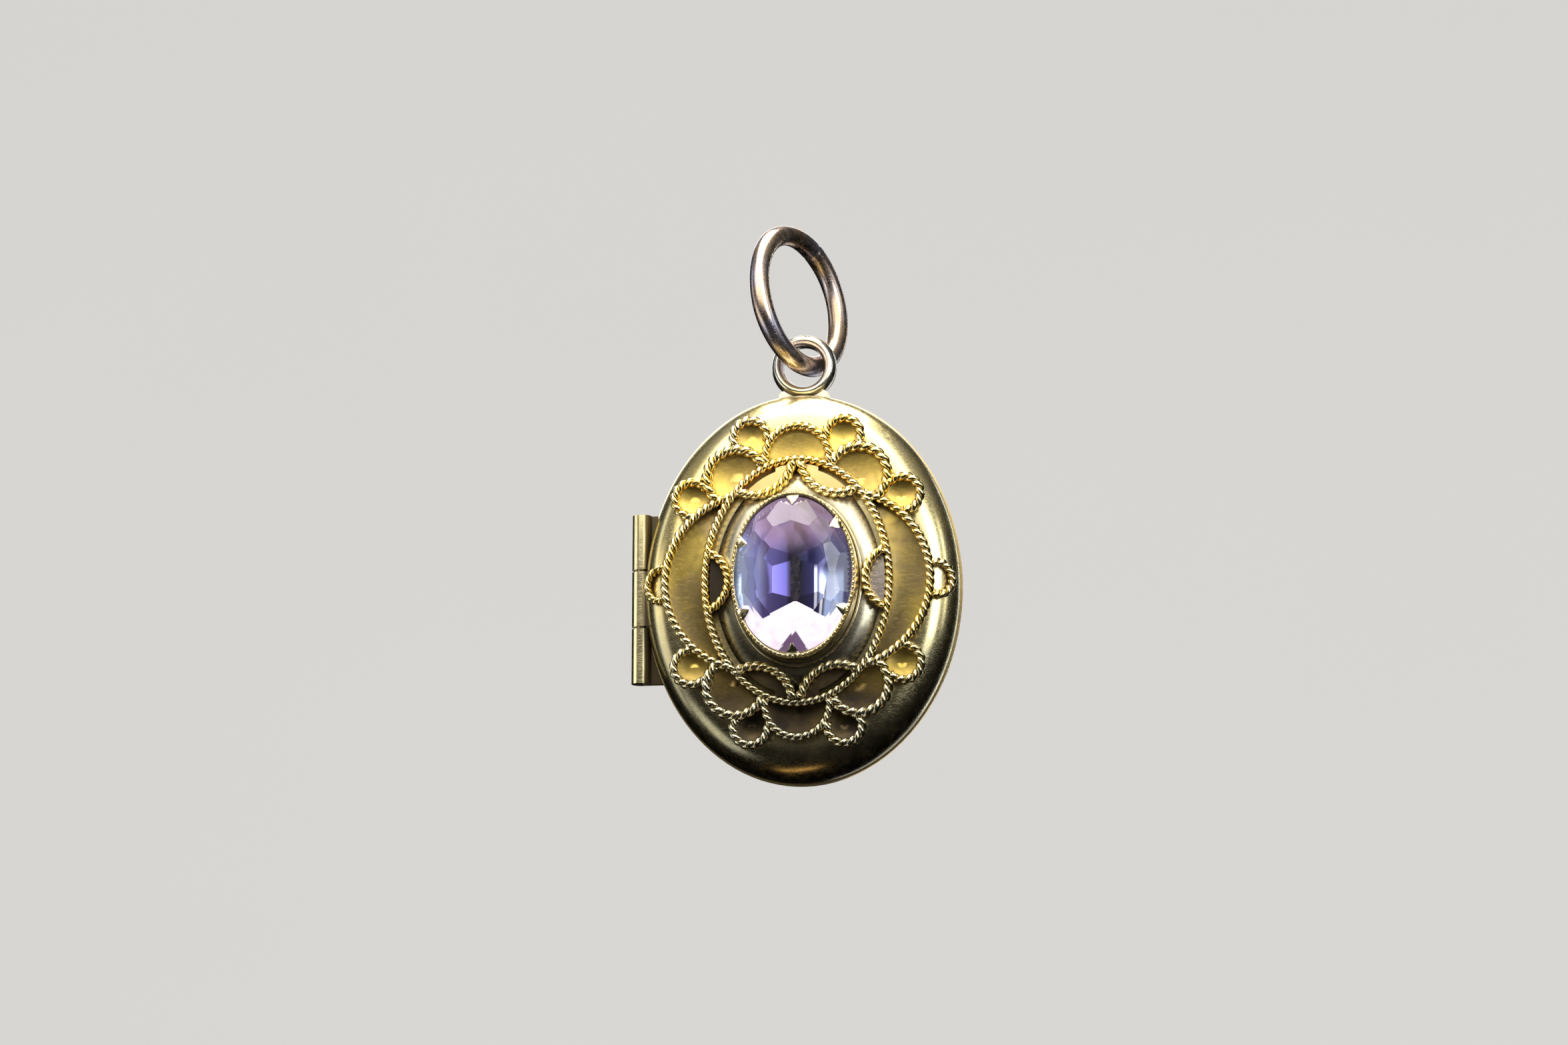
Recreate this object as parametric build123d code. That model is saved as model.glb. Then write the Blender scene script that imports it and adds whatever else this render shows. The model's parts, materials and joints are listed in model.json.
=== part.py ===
"""Oval hinged locket with a filigree front, a claw-set oval stone, a bail and a jump ring.

Millimetres. The model is drawn lying on its back, in the "face frame": x to the right, y up
the face, z out of the face towards the viewer, z = 0 on the plane where the two halves part.
write_nodes() stands it up, so in the files +Z is up, the face looks along -Y, and the origin is
the centre of the flat back.
"""
from build123d import *
import os
from math import cos, pi, sin

# ---- case ----
CASE_WIDTH = 16.2
CASE_HEIGHT = 20.2
FRONT_DEPTH = 1.9
BACK_DEPTH = 2.1
SHOULDER = 1.7
SHEET = 0.45
BAND = 0.6
BAND_HEIGHT = 0.9
FLANGE_PROUD = 0.08
FLANGE_THICK = 0.22
PARTING_GAP = 0.02
LIP_HEIGHT = 0.45
LIP_THICK = 0.19
LIP_CLEARANCE = 0.06
NICK_LENGTH = 3.0
NICK_DEPTH = 0.22

# ---- photograph compartments, one in each half ----
LEDGE_WIDTH = 0.62
LEDGE_THICK = 0.2
FRAME_RING_WIDTH = 0.75
FRAME_RING_THICK = 0.3
GLAZING_THICK = 0.15
CARD_THICK = 0.15
COMPARTMENT_CLEARANCE = 0.03

# ---- hinge ----
HINGE_X = -8.38
HINGE_Y = -0.35
KNUCKLE_DIAMETER = 1.0
KNUCKLE_LENGTH = 2.85
KNUCKLE_GAP = 0.12
PIN_DIAMETER = 0.5
PIN_CLEARANCE = 0.03
KNUCKLE_SEAT = 0.07
LEAF_LENGTH = 1.7
LEAF_THICK = 0.42

# ---- filigree ----
OVAL_X = 4.72
OVAL_Y = 6.29
STRIP = 0.2
STRIP_HEIGHT = 0.27
TRAY_FLOOR = 0.1
DISH_LOW = 0.04
DISH_RIM = 0.22
CRESCENT_DISH = (-1.0, 6.76, 1.05)
WIRE = 0.46
FINE_WIRE = 0.38
CRESCENT = (2.26, 4.54)
CENTRE_SCALLOP = (0.0, 6.40, 1.64)
SIDE_SCALLOP = (3.05, 5.30, 1.56)
LOOPS = ((2.35, 7.40, 0.93), (5.30, 4.30, 0.95))
EDGE_LOOP_RADIUS = 0.86
EDGE_LOOP_X = 6.2
EDGE_LOOP_REACH = 0.72
EDGE_LOOP_TILT = 28.0
LEAF = (2.31, 6.79, 2.335)
SIDE_PETAL = (5.30, 0.0, 1.75)
LEAF_SLIT_FROM = 1.1
LEAF_SLIT_TO = 2.9
LEAF_SLIT_WIDTH = 0.2
PETAL_LIFT = 0.3
PETAL_FLOOR_DROP = 0.1
PETAL_GAP = 0.04

# ---- centre boss, setting and stone ----
BOSS_BASE = (4.25, 5.74)
BOSS_TOP = (3.46, 4.61)
BOSS_HEIGHT = 0.5
BOSS_SHEET = 0.3
STONE_X = 3.0
STONE_Y = 4.0
STONE_SIDES = 20
GIRDLE_Z = 3.7
GIRDLE_THICK = 0.12
CROWN_HEIGHT = 0.8
TABLE_SHARE = 0.58
PAVILION_DEPTH = 1.65
KEEL = (0.2, 1.5)
BEZEL_WALL = 0.2
BEZEL_LEDGE = 0.28
BEZEL_RIM = 0.3
BASE_WIRE = 0.2
CLAW_ANGLES = (90, 40, -28, -90, -150, 155)
CLAW_WIDTH = 0.72
CLAW_REACH = 0.45
CLAW_THICK = 0.18

# ---- bail and jump ring ----
BAIL_OUTER = 3.4
BAIL_HOLE = 2.1
BAIL_WIDTH = 1.2
BAIL_Z = -0.55
BAIL_GAP = 0.02
FOOT_WIDTH = 2.6
FOOT_DEPTH = 1.2
FOOT_RISE = 0.42
FOOT_CORNER = 0.3
RING_DIAMETER = 8.1
RING_WIRE = 1.05
RING_TURN = 63.0
RING_LEAN = 7.0
RING_SHIFT = 0.15
RING_HANG_GAP = 0.45

HALF_X = CASE_WIDTH / 2
HALF_Y = CASE_HEIGHT / 2
STRIP_TOP = FRONT_DEPTH + STRIP_HEIGHT
PETAL_TOP = STRIP_TOP + PETAL_LIFT
BAIL_Y = HALF_Y + BAIL_OUTER / 2 + BAIL_GAP


def oval(inset=0.0):
    """The case's oval, drawn in by inset."""
    return Ellipse(HALF_X - inset, HALF_Y - inset)


def prism(sketch, low, high):
    """A flat outline made solid between two heights."""
    return extrude(Pos(0, 0, low) * sketch, high - low)


def oval_band(outer_inset, inner_inset, low, high):
    return prism(oval(outer_inset) - oval(inner_inset), low, high)


def dome(inset, depth, shoulder):
    """A flat-topped oval with a rounded shoulder, standing on z = 0."""
    block = prism(oval(inset), 0, depth)
    return fillet(block.edges().group_by(Axis.Z)[-1], shoulder)


def mirrored(shapes, plane):
    return [mirror(shape, about=plane) for shape in shapes]


def both_sides(shapes):
    return shapes + mirrored(shapes, Plane.YZ)


def all_quarters(shapes):
    halves = both_sides(shapes)
    return halves + mirrored(halves, Plane.XZ)


def largest(shape):
    """The one solid that a cut leaves in use, without its offcuts."""
    return [max(shape.solids(), key=lambda solid: solid.volume)]


# ---- case halves ----

FRONT_DOME = dome(0, FRONT_DEPTH, SHOULDER)
FRONT_HOLLOW = dome(SHEET, FRONT_DEPTH - SHEET, SHOULDER - SHEET)
BACK_DOME = mirror(dome(0, BACK_DEPTH, SHOULDER), about=Plane.XY)
BACK_HOLLOW = mirror(dome(SHEET, BACK_DEPTH - SHEET, SHOULDER - SHEET), about=Plane.XY)
HINGE_TOTAL = 3 * KNUCKLE_LENGTH + 2 * KNUCKLE_GAP


def upright(radius, length, y):
    """A cylinder on the hinge axis, centred at height y up the face."""
    return Pos(HINGE_X, y, 0) * Rot(90, 0, 0) * Cylinder(radius, length)


HINGE_NOTCH = upright(KNUCKLE_DIAMETER / 2 + KNUCKLE_SEAT, HINGE_TOTAL + 0.2, HINGE_Y)


def front_cover():
    shell = FRONT_DOME - FRONT_HOLLOW
    shell -= prism(oval(-1), -1, PARTING_GAP)
    nick = Pos(HALF_X, 0, PARTING_GAP) * Box(2 * NICK_DEPTH, NICK_LENGTH, 2 * NICK_DEPTH)
    return shell - nick - HINGE_NOTCH


def back_cover():
    shell = BACK_DOME - BACK_HOLLOW
    shell -= prism(oval(-1), -PARTING_GAP - FLANGE_THICK, 1)
    return shell - HINGE_NOTCH


def half_rim(side):
    """The inner band of one half, with the ledge that its photograph rests on."""
    hollow = FRONT_HOLLOW if side > 0 else BACK_HOLLOW
    low, high = sorted((side * PARTING_GAP, side * BAND_HEIGHT))
    band = oval_band(0, SHEET + BAND, low, high)
    ledge_low, ledge_high = sorted((side * (BAND_HEIGHT - LEDGE_THICK), side * BAND_HEIGHT))
    band += oval_band(0, SHEET + BAND + LEDGE_WIDTH, ledge_low, ledge_high)
    return band & hollow


def front_rim():
    recess = prism(oval(SHEET + BAND - LIP_THICK - LIP_CLEARANCE), -1, LIP_HEIGHT + 2 * LIP_CLEARANCE)
    return half_rim(1) - recess - HINGE_NOTCH


def back_rim():
    flange = oval_band(-FLANGE_PROUD, SHEET + BAND, -PARTING_GAP - FLANGE_THICK, -PARTING_GAP)
    lip = oval_band(SHEET + BAND - LIP_THICK, SHEET + BAND, -PARTING_GAP, LIP_HEIGHT)
    return half_rim(-1) + flange + lip - HINGE_NOTCH


def compartment(side):
    """Card, glazing and sprung frame ring of one half, from the ledge towards the parting plane."""
    outer = SHEET + BAND + COMPARTMENT_CLEARANCE
    pieces = {}
    far = BAND_HEIGHT - LEDGE_THICK
    layers = (("photo_card", CARD_THICK, None), ("glazing", GLAZING_THICK, None),
              ("frame_ring", FRAME_RING_THICK, outer + FRAME_RING_WIDTH))
    for name, thick, inner in layers:
        near = far - thick
        low, high = sorted((side * near, side * far))
        outline = oval(outer) if inner is None else oval(outer) - oval(inner)
        pieces[name] = prism(outline, low, high)
        far = near
    return pieces


# ---- hinge ----

def knuckle(y, side, case_half):
    """One hinge knuckle with its leaf, shaped to the case half that it is soldered to."""
    radius = KNUCKLE_DIAMETER / 2
    low, high = sorted((side * 0.05, side * (0.05 + LEAF_THICK)))
    leaf = Pos(HINGE_X, y - KNUCKLE_LENGTH / 2, 0) * prism(
        Rectangle(LEAF_LENGTH, KNUCKLE_LENGTH, align=Align.MIN), low, high)
    tube = upright(radius, KNUCKLE_LENGTH, y)
    own_notch = HINGE_NOTCH & (Pos(HINGE_X, y, side * 2) * Box(4, KNUCKLE_LENGTH, 4))
    leaf = leaf - (case_half - own_notch)
    return tube + leaf - upright(PIN_DIAMETER / 2 + PIN_CLEARANCE, 2 * HINGE_TOTAL, HINGE_Y)


def front_hinge_knuckle():
    return knuckle(HINGE_Y, 1, FRONT_DOME)


def back_hinge_knuckles():
    step = KNUCKLE_LENGTH + KNUCKLE_GAP
    return [knuckle(HINGE_Y + way * step, -1, BACK_DOME + back_rim()) for way in (-1, 1)]


def hinge_pin():
    return upright(PIN_DIAMETER / 2, HINGE_TOTAL, HINGE_Y)


# ---- filigree cells: a thin tray with an upright strip, and a wire soldered along its top ----

def disc(x, y, radius):
    return Pos(x, y) * Circle(radius)


def oval_disc(grow):
    return Ellipse(OVAL_X + grow, OVAL_Y + grow)


def crescent_disc(grow):
    return disc(CRESCENT[0], 0, CRESCENT[1] + grow)


def centre_scallop_disc(grow):
    x, y, radius = CENTRE_SCALLOP
    return disc(x, y, radius + grow)


def side_scallop_disc(grow):
    x, y, radius = SIDE_SCALLOP
    return disc(x, y, radius + grow)


def dish_radius(half_width):
    """The radius of a dished floor that falls from DISH_RIM to DISH_LOW over half its width."""
    fall = DISH_RIM - DISH_LOW
    return (half_width**2 + fall**2) / (2 * fall)


def round_dish(x, y, radius):
    """What is scooped out of a round cell's floor."""
    scoop = dish_radius(radius)
    return Pos(x, y, FRONT_DEPTH + DISH_LOW + scoop) * Sphere(scoop)


def crescent_dish():
    x, major, half_width = CRESCENT_DISH
    scoop = dish_radius(half_width)
    return Pos(x, 0, FRONT_DEPTH + DISH_LOW + scoop) * Torus(major, scoop)


def tray(cell, dish, blockers):
    """A dished tray whose strip follows the cell's outline, stopped by its neighbours."""
    wall = cell(STRIP / 2) - cell(-STRIP / 2)
    floor = cell(-STRIP / 2)
    for blocker in blockers:
        wall -= blocker(STRIP / 2)
        floor -= blocker(STRIP / 2)
    solid = prism(wall, FRONT_DEPTH - SHOULDER, STRIP_TOP)
    solid += prism(floor, FRONT_DEPTH - SHOULDER, FRONT_DEPTH + DISH_RIM) - dish
    return largest(solid - FRONT_DOME)


def ring_wire(x, y, radius, wire, height, blockers):
    """A wire bent round a circle at the given height, stopped by the neighbouring wires."""
    tube = Pos(x, y, height + wire / 2) * Torus(radius, wire / 2)
    for blocker in blockers:
        tube -= prism(blocker(WIRE / 2), 0, 5)
    return largest(tube)


def oval_strip():
    return prism(oval_disc(STRIP / 2) - oval_disc(-STRIP / 2), FRONT_DEPTH, STRIP_TOP)


def oval_wire(x_radius, y_radius, wire, height):
    path = Pos(0, 0, height + wire / 2) * Ellipse(x_radius, y_radius).edge()
    section = Plane(origin=path @ 0, z_dir=path % 0) * Circle(wire / 2)
    return sweep(section, path=path)


def crescents():
    trays = tray(crescent_disc, crescent_dish(), [oval_disc])
    wires = ring_wire(CRESCENT[0], 0, CRESCENT[1], WIRE, STRIP_TOP, [oval_disc])
    return both_sides(trays), both_sides(wires)


def centre_scallops():
    trays = tray(centre_scallop_disc, round_dish(*CENTRE_SCALLOP), [oval_disc])
    wires = ring_wire(*CENTRE_SCALLOP, WIRE, STRIP_TOP, [oval_disc])
    return trays + mirrored(trays, Plane.XZ), wires + mirrored(wires, Plane.XZ)


def side_scallops():
    blockers = [oval_disc, crescent_disc, centre_scallop_disc]
    trays = tray(side_scallop_disc, round_dish(*SIDE_SCALLOP), blockers)
    wires = ring_wire(*SIDE_SCALLOP, WIRE, STRIP_TOP, blockers)
    return all_quarters(trays), all_quarters(wires)


def small_loops():
    blockers = [crescent_disc, centre_scallop_disc, side_scallop_disc]
    trays = []
    wires = []
    for x, y, radius in LOOPS:
        trays += tray(lambda grow: disc(x, y, radius + grow), round_dish(x, y, radius), blockers)
        wires += ring_wire(x, y, radius, FINE_WIRE, STRIP_TOP, blockers)
    return all_quarters(trays), all_quarters(wires)


def edge_loops():
    """The two loops that lean over the shoulder, one at each side of the case."""
    lean = Pos(EDGE_LOOP_X, 0, FRONT_DEPTH) * Rot(0, EDGE_LOOP_TILT, 0) * Pos(EDGE_LOOP_REACH, 0, 0)
    ring = Circle(EDGE_LOOP_RADIUS + STRIP / 2) - Circle(EDGE_LOOP_RADIUS - STRIP / 2)
    wall = lean * prism(ring, -1, STRIP_HEIGHT)
    floor = lean * prism(Circle(EDGE_LOOP_RADIUS - STRIP / 2), -1, TRAY_FLOOR)
    stop = prism(crescent_disc(STRIP / 2), 0, 5)
    trays = largest(wall + floor - FRONT_DOME - stop)
    tube = lean * Pos(0, 0, STRIP_HEIGHT + FINE_WIRE / 2) * Torus(EDGE_LOOP_RADIUS, FINE_WIRE / 2)
    wires = largest(tube - prism(crescent_disc(WIRE / 2), 0, 5))
    return both_sides(trays), both_sides(wires)


def leaf_slit():
    """The gap along the oval wire, where a leaf's floor stops short of it."""
    band = oval_disc(STRIP / 4 - WIRE / 2) - oval_disc(-WIRE / 2 - LEAF_SLIT_WIDTH)
    length = LEAF_SLIT_TO - LEAF_SLIT_FROM
    return prism(band & Pos(LEAF_SLIT_FROM, 0) * Rectangle(length, HALF_Y, align=Align.MIN), 0, GIRDLE_Z)


def petal(x, y, radius, cuts):
    """A petal inside the oval: the part of a circle that the oval wire encloses, less the cuts."""
    right_side = Pos(PETAL_GAP / 2, -HALF_Y) * Rectangle(HALF_X, CASE_HEIGHT, align=Align.MIN)
    inside_strip = oval_disc(-STRIP / 2) & right_side
    inside_wire = oval_disc(-WIRE / 2) & right_side
    wall = (disc(x, y, radius + STRIP / 2) - disc(x, y, radius - STRIP / 2)) & inside_wire
    solid = prism(wall, FRONT_DEPTH, PETAL_TOP)
    solid += prism(disc(x, y, radius) & inside_strip, FRONT_DEPTH, STRIP_TOP)
    solid += prism(disc(x, y, radius) & inside_wire, FRONT_DEPTH, PETAL_TOP - PETAL_FLOOR_DROP)
    tube = Pos(x, y, PETAL_TOP + FINE_WIRE / 2) * Torus(radius, FINE_WIRE / 2)
    for cut in cuts:
        solid -= cut
    return largest(solid), largest(tube & prism(inside_wire, 0, GIRDLE_Z))


# ---- centre boss, setting and stone ----

def boss_solid(shrink, low):
    base = Pos(0, 0, low) * Ellipse(BOSS_BASE[0] - shrink, BOSS_BASE[1] - shrink)
    top = Pos(0, 0, FRONT_DEPTH + BOSS_HEIGHT) * Ellipse(BOSS_TOP[0] - shrink, BOSS_TOP[1] - shrink)
    return loft([base, top])


def centre_boss():
    opening = prism(Ellipse(STONE_X - BEZEL_LEDGE, STONE_Y - BEZEL_LEDGE), 0, 5)
    hollow = boss_solid(2 * BOSS_SHEET, FRONT_DEPTH) & prism(oval(), 0, FRONT_DEPTH + BOSS_HEIGHT - 0.1)
    return boss_solid(0, FRONT_DEPTH) - hollow - opening


def stone_outline(x_radius, y_radius, height):
    corners = []
    for side in range(STONE_SIDES):
        turn = 2 * pi * (side + 0.5) / STONE_SIDES
        corners.append((x_radius * cos(turn), y_radius * sin(turn)))
    return Pos(0, 0, height) * make_face(Polyline(*corners, close=True))


def stone_crown(x_radius, y_radius, height):
    table = stone_outline(x_radius * TABLE_SHARE, y_radius * TABLE_SHARE, height + CROWN_HEIGHT)
    return loft([stone_outline(x_radius, y_radius, height), table], ruled=True)


def oval_stone():
    girdle_top = GIRDLE_Z + GIRDLE_THICK
    girdle = prism(stone_outline(STONE_X, STONE_Y, 0), GIRDLE_Z, girdle_top)
    keel = stone_outline(*KEEL, GIRDLE_Z - PAVILION_DEPTH)
    pavilion = loft([keel, stone_outline(STONE_X, STONE_Y, GIRDLE_Z)], ruled=True)
    return pavilion + girdle + stone_crown(STONE_X, STONE_Y, girdle_top)


def claw_outline(angle):
    """A pointed claw seen from the front, its foot on the bezel."""
    turn = angle * pi / 180
    foot = Vector((STONE_X + BEZEL_WALL) * cos(turn), (STONE_Y + BEZEL_RIM) * sin(turn))
    inward = -Vector(cos(turn) / STONE_X, sin(turn) / STONE_Y).normalized()
    along = Vector(-inward.Y, inward.X) * (CLAW_WIDTH / 2)
    return make_face(Polyline(foot + along, foot - along, foot + inward * (CLAW_REACH + BEZEL_RIM), close=True))


def bezel(stone):
    base = FRONT_DEPTH + BOSS_HEIGHT
    girdle_top = GIRDLE_Z + GIRDLE_THICK
    outside = Ellipse(STONE_X + BEZEL_WALL, STONE_Y + BEZEL_RIM)
    tube = prism(outside - Ellipse(STONE_X - BEZEL_LEDGE, STONE_Y - BEZEL_LEDGE), base, GIRDLE_Z)
    tube += prism(outside - Ellipse(STONE_X, STONE_Y), GIRDLE_Z, girdle_top + CLAW_THICK)
    layer = stone_crown(STONE_X + BEZEL_WALL, STONE_Y + BEZEL_WALL, girdle_top + CLAW_THICK)
    layer += prism(outside, GIRDLE_Z, girdle_top + CLAW_THICK)
    for angle in CLAW_ANGLES:
        tube += prism(claw_outline(angle), GIRDLE_Z, GIRDLE_Z + 2) & layer
    return tube - stone


def bezel_base_wire():
    radius = BASE_WIRE / 2
    return oval_wire(STONE_X + BEZEL_WALL + radius, STONE_Y + BEZEL_RIM + radius, BASE_WIRE,
                     FRONT_DEPTH + BOSS_HEIGHT)


# ---- bail and jump ring ----

def bail_section():
    """The bail's bar cut across: an oval, longer from face to back than it is thick."""
    thick = (BAIL_OUTER - BAIL_HOLE) / 2
    middle = (BAIL_OUTER + BAIL_HOLE) / 4
    return Pos(middle, 0) * Ellipse(thick / 2, BAIL_WIDTH / 2)


def bail_ring():
    ring = revolve(Plane.XZ * bail_section(), Axis.Z)
    return Pos(0, BAIL_Y, BAIL_Z) * ring


def bail_foot(ring):
    """The solder-filled block between the bail and the back half, clear of the front half."""
    foot = Pos(0, HALF_Y, BAIL_Z - 0.1) * Box(FOOT_WIDTH, 2 * FOOT_RISE, FOOT_DEPTH)
    foot = fillet(foot.edges().filter_by(Axis.Z), FOOT_CORNER)
    return foot - ring - BACK_DOME - prism(oval(-1), -PARTING_GAP - FLANGE_THICK - 0.01, 1)


def jump_ring():
    """The split ring that hangs in the bail, turned and leaning a little to the left."""
    major = (RING_DIAMETER - RING_WIRE) / 2
    lowest = Pos(RING_SHIFT, BAIL_Y + (BAIL_HOLE - RING_WIRE) / 2 - RING_HANG_GAP, BAIL_Z)
    turned = Rot(0, RING_TURN, 0) * Torus(major, RING_WIRE / 2)
    return lowest * Rot(0, 0, RING_LEAN) * Pos(0, major, 0) * turned


# ---- output ----

def write_nodes(nodes):
    os.makedirs("parts", exist_ok=True)
    for name, shapes in nodes.items():
        solids = []
        for shape in shapes if isinstance(shapes, list) else [shapes]:
            solids += shape.solids()
        standing = Pos(0, -BACK_DEPTH, 0) * Plane.XZ.location * Compound(children=solids)
        export_step(standing, f"parts/{name}.step")


def build_locket():
    stone = oval_stone()
    boss_block = boss_solid(0, FRONT_DEPTH)
    leaf_trays, leaf_wires = petal(*LEAF, [boss_block, leaf_slit()])
    petal_trays, petal_wires = petal(*SIDE_PETAL, [boss_block])
    nodes = {
        "front_cover": front_cover(),
        "front_rim": front_rim(),
        "centre_boss": centre_boss(),
        "bezel": bezel(stone),
        "bezel_base_wire": bezel_base_wire(),
        "oval_stone": stone,
        "oval_strip": oval_strip(),
        "oval_rope_wire": oval_wire(OVAL_X, OVAL_Y, WIRE, STRIP_TOP),
        "leaf_trays": all_quarters(leaf_trays),
        "leaf_rope_wires": all_quarters(leaf_wires),
        "side_petal_trays": both_sides(petal_trays),
        "side_petal_rope_wires": both_sides(petal_wires),
        "back_cover": back_cover(),
        "back_rim": back_rim(),
        "front_hinge_knuckle": front_hinge_knuckle(),
        "back_hinge_knuckles": back_hinge_knuckles(),
        "hinge_pin": hinge_pin(),
        "bail_ring": bail_ring(),
        "bail_foot": bail_foot(bail_ring()),
        "jump_ring": jump_ring(),
    }
    nodes["crescent_trays"], nodes["crescent_rope_wires"] = crescents()
    nodes["centre_scallop_trays"], nodes["centre_scallop_rope_wires"] = centre_scallops()
    nodes["side_scallop_trays"], nodes["side_scallop_rope_wires"] = side_scallops()
    nodes["small_loop_trays"], nodes["small_loop_rope_wires"] = small_loops()
    nodes["edge_loop_trays"], nodes["edge_loop_rope_wires"] = edge_loops()
    for half, side in (("front", 1), ("back", -1)):
        for name, solid in compartment(side).items():
            nodes[f"{half}_{name}"] = solid
    return nodes


write_nodes(build_locket())
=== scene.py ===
"""Looks for the oval filigree locket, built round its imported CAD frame.

Lengths are in millimetres in the "face frame" (x right, y up the face, z out of the face from the
plane where the halves part) until place() turns them into the frame's metres, where +Z is up and
the face looks along -Y.
"""

import json
import math

import bmesh
import bpy
import numpy as np
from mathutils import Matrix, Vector, noise

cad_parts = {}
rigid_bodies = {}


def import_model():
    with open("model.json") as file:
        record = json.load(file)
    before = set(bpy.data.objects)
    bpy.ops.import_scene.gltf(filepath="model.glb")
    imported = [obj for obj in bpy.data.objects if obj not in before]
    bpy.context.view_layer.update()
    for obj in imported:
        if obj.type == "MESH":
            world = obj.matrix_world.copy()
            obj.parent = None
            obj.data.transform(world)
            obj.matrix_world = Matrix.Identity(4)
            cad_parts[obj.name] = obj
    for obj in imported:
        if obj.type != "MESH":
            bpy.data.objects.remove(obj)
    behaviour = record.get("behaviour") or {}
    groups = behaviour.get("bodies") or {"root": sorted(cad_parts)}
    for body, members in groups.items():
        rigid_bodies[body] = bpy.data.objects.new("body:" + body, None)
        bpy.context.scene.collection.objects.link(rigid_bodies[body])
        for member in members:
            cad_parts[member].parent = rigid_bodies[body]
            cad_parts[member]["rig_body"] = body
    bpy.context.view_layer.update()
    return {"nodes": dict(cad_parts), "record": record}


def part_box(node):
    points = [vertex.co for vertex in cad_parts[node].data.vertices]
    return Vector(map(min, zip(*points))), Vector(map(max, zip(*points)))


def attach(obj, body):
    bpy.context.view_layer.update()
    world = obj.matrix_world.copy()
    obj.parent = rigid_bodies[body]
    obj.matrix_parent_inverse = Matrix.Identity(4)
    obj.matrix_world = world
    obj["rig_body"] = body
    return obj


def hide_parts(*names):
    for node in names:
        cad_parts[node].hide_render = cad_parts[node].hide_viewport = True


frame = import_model()
MM = 0.001
JOINTS = frame["record"]["behaviour"]["joints"]
HINGE = next(joint for joint in JOINTS if joint["name"] == "cover_hinge")
PARTING = HINGE["pos_m"][1] / MM

# ---------------------------------------------------------------- reading the frame


def to_face(points):
    """Frame metres to face-frame millimetres."""
    points = np.asarray(points, float) / MM
    return np.stack([points[..., 0], points[..., 2], PARTING - points[..., 1]], -1)


def place(points):
    """Face-frame millimetres to frame metres."""
    points = np.asarray(points, float)
    return np.stack([points[..., 0], PARTING - points[..., 2], points[..., 1]], -1) * MM


def face_box(node):
    """Lowest and highest corner of a CAD node in the face frame."""
    corners = to_face(np.array(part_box(node)))
    return corners.min(0), corners.max(0)


def body_of(node):
    return frame["nodes"][node]["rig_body"]


def islands(node):
    """The separate solids of a CAD node, each as an array of its points in the face frame."""
    mesh = bmesh.new()
    mesh.from_mesh(frame["nodes"][node].data)
    bmesh.ops.remove_doubles(mesh, verts=mesh.verts, dist=1e-7)
    left = set(mesh.verts)
    found = []
    while left:
        stack = [next(v for v in mesh.verts if v in left)]
        left.discard(stack[0])
        island = []
        while stack:
            vert = stack.pop()
            island.append(tuple(vert.co))
            for edge in vert.link_edges:
                other = edge.other_vert(vert)
                if other in left:
                    left.discard(other)
                    stack.append(other)
        found.append(to_face(island))
    mesh.free()
    return sorted(found, key=lambda points: tuple(np.round(points.mean(0), 3)))


CLOSED_GAP = 0.6  # radians without points, below which a wire is a whole ring
OVAL_SAMPLES = 4001


class Arc:
    """The centre line of a bent round wire, fitted to the points of its solid."""

    def __init__(self, points):
        middle = points.mean(0)
        axes = np.linalg.svd(points - middle, full_matrices=False)[2]
        self.normal = axes[2] * (1 if axes[2][2] >= 0 else -1)
        self.across = axes[0]
        self.up = np.cross(self.normal, self.across)
        flat = (points - middle) @ np.stack([self.across, self.up], 1)
        system = np.column_stack([2 * flat, np.ones(len(flat))])
        centre = np.linalg.lstsq(system, (flat**2).sum(1), rcond=None)[0][:2]
        self.centre = middle + centre[0] * self.across + centre[1] * self.up
        offset = flat - centre
        reach = np.hypot(offset[:, 0], offset[:, 1])
        self.radius = (reach.max() + reach.min()) / 2
        self.wire = (reach.max() - reach.min()) / 2
        turns = np.sort(np.arctan2(offset[:, 1], offset[:, 0]))
        gaps = np.diff(np.append(turns, turns[0] + 2 * math.pi))
        widest = int(gaps.argmax())
        self.closed = gaps[widest] < CLOSED_GAP
        self.start = turns[(widest + 1) % len(turns)]
        self.sweep = 2 * math.pi - (0 if self.closed else gaps[widest])

    def line(self, step):
        """Points, outward directions and face directions along the wire."""
        count = max(8, int(round(self.radius * self.sweep / step)))
        turns = self.start + np.linspace(0, self.sweep, count + 1)
        out = np.outer(np.cos(turns), self.across) + np.outer(np.sin(turns), self.up)
        points = self.centre + self.radius * out
        return points, out, np.tile(self.normal, (count + 1, 1))


def oval_line(x_radius, y_radius, height, step):
    """Evenly spaced points on an oval, with outward directions and face directions."""
    fine = np.linspace(0, 2 * math.pi, OVAL_SAMPLES)
    xy = np.stack([x_radius * np.cos(fine), y_radius * np.sin(fine)], 1)
    length = np.append(0, np.cumsum(np.hypot(*np.diff(xy, axis=0).T)))
    count = int(round(length[-1] / step))
    turns = np.interp(np.linspace(0, length[-1], count + 1), length, fine)
    cos, sin = np.cos(turns), np.sin(turns)
    out = np.stack([cos / x_radius, sin / y_radius, 0 * cos], 1)
    out /= np.linalg.norm(out, axis=1)[:, None]
    points = np.stack([x_radius * cos, y_radius * sin, 0 * cos + height], 1)
    return points, out, np.tile([0.0, 0.0, 1.0], (count + 1, 1))


# ---------------------------------------------------------------- driving sizes, from the frame

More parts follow.
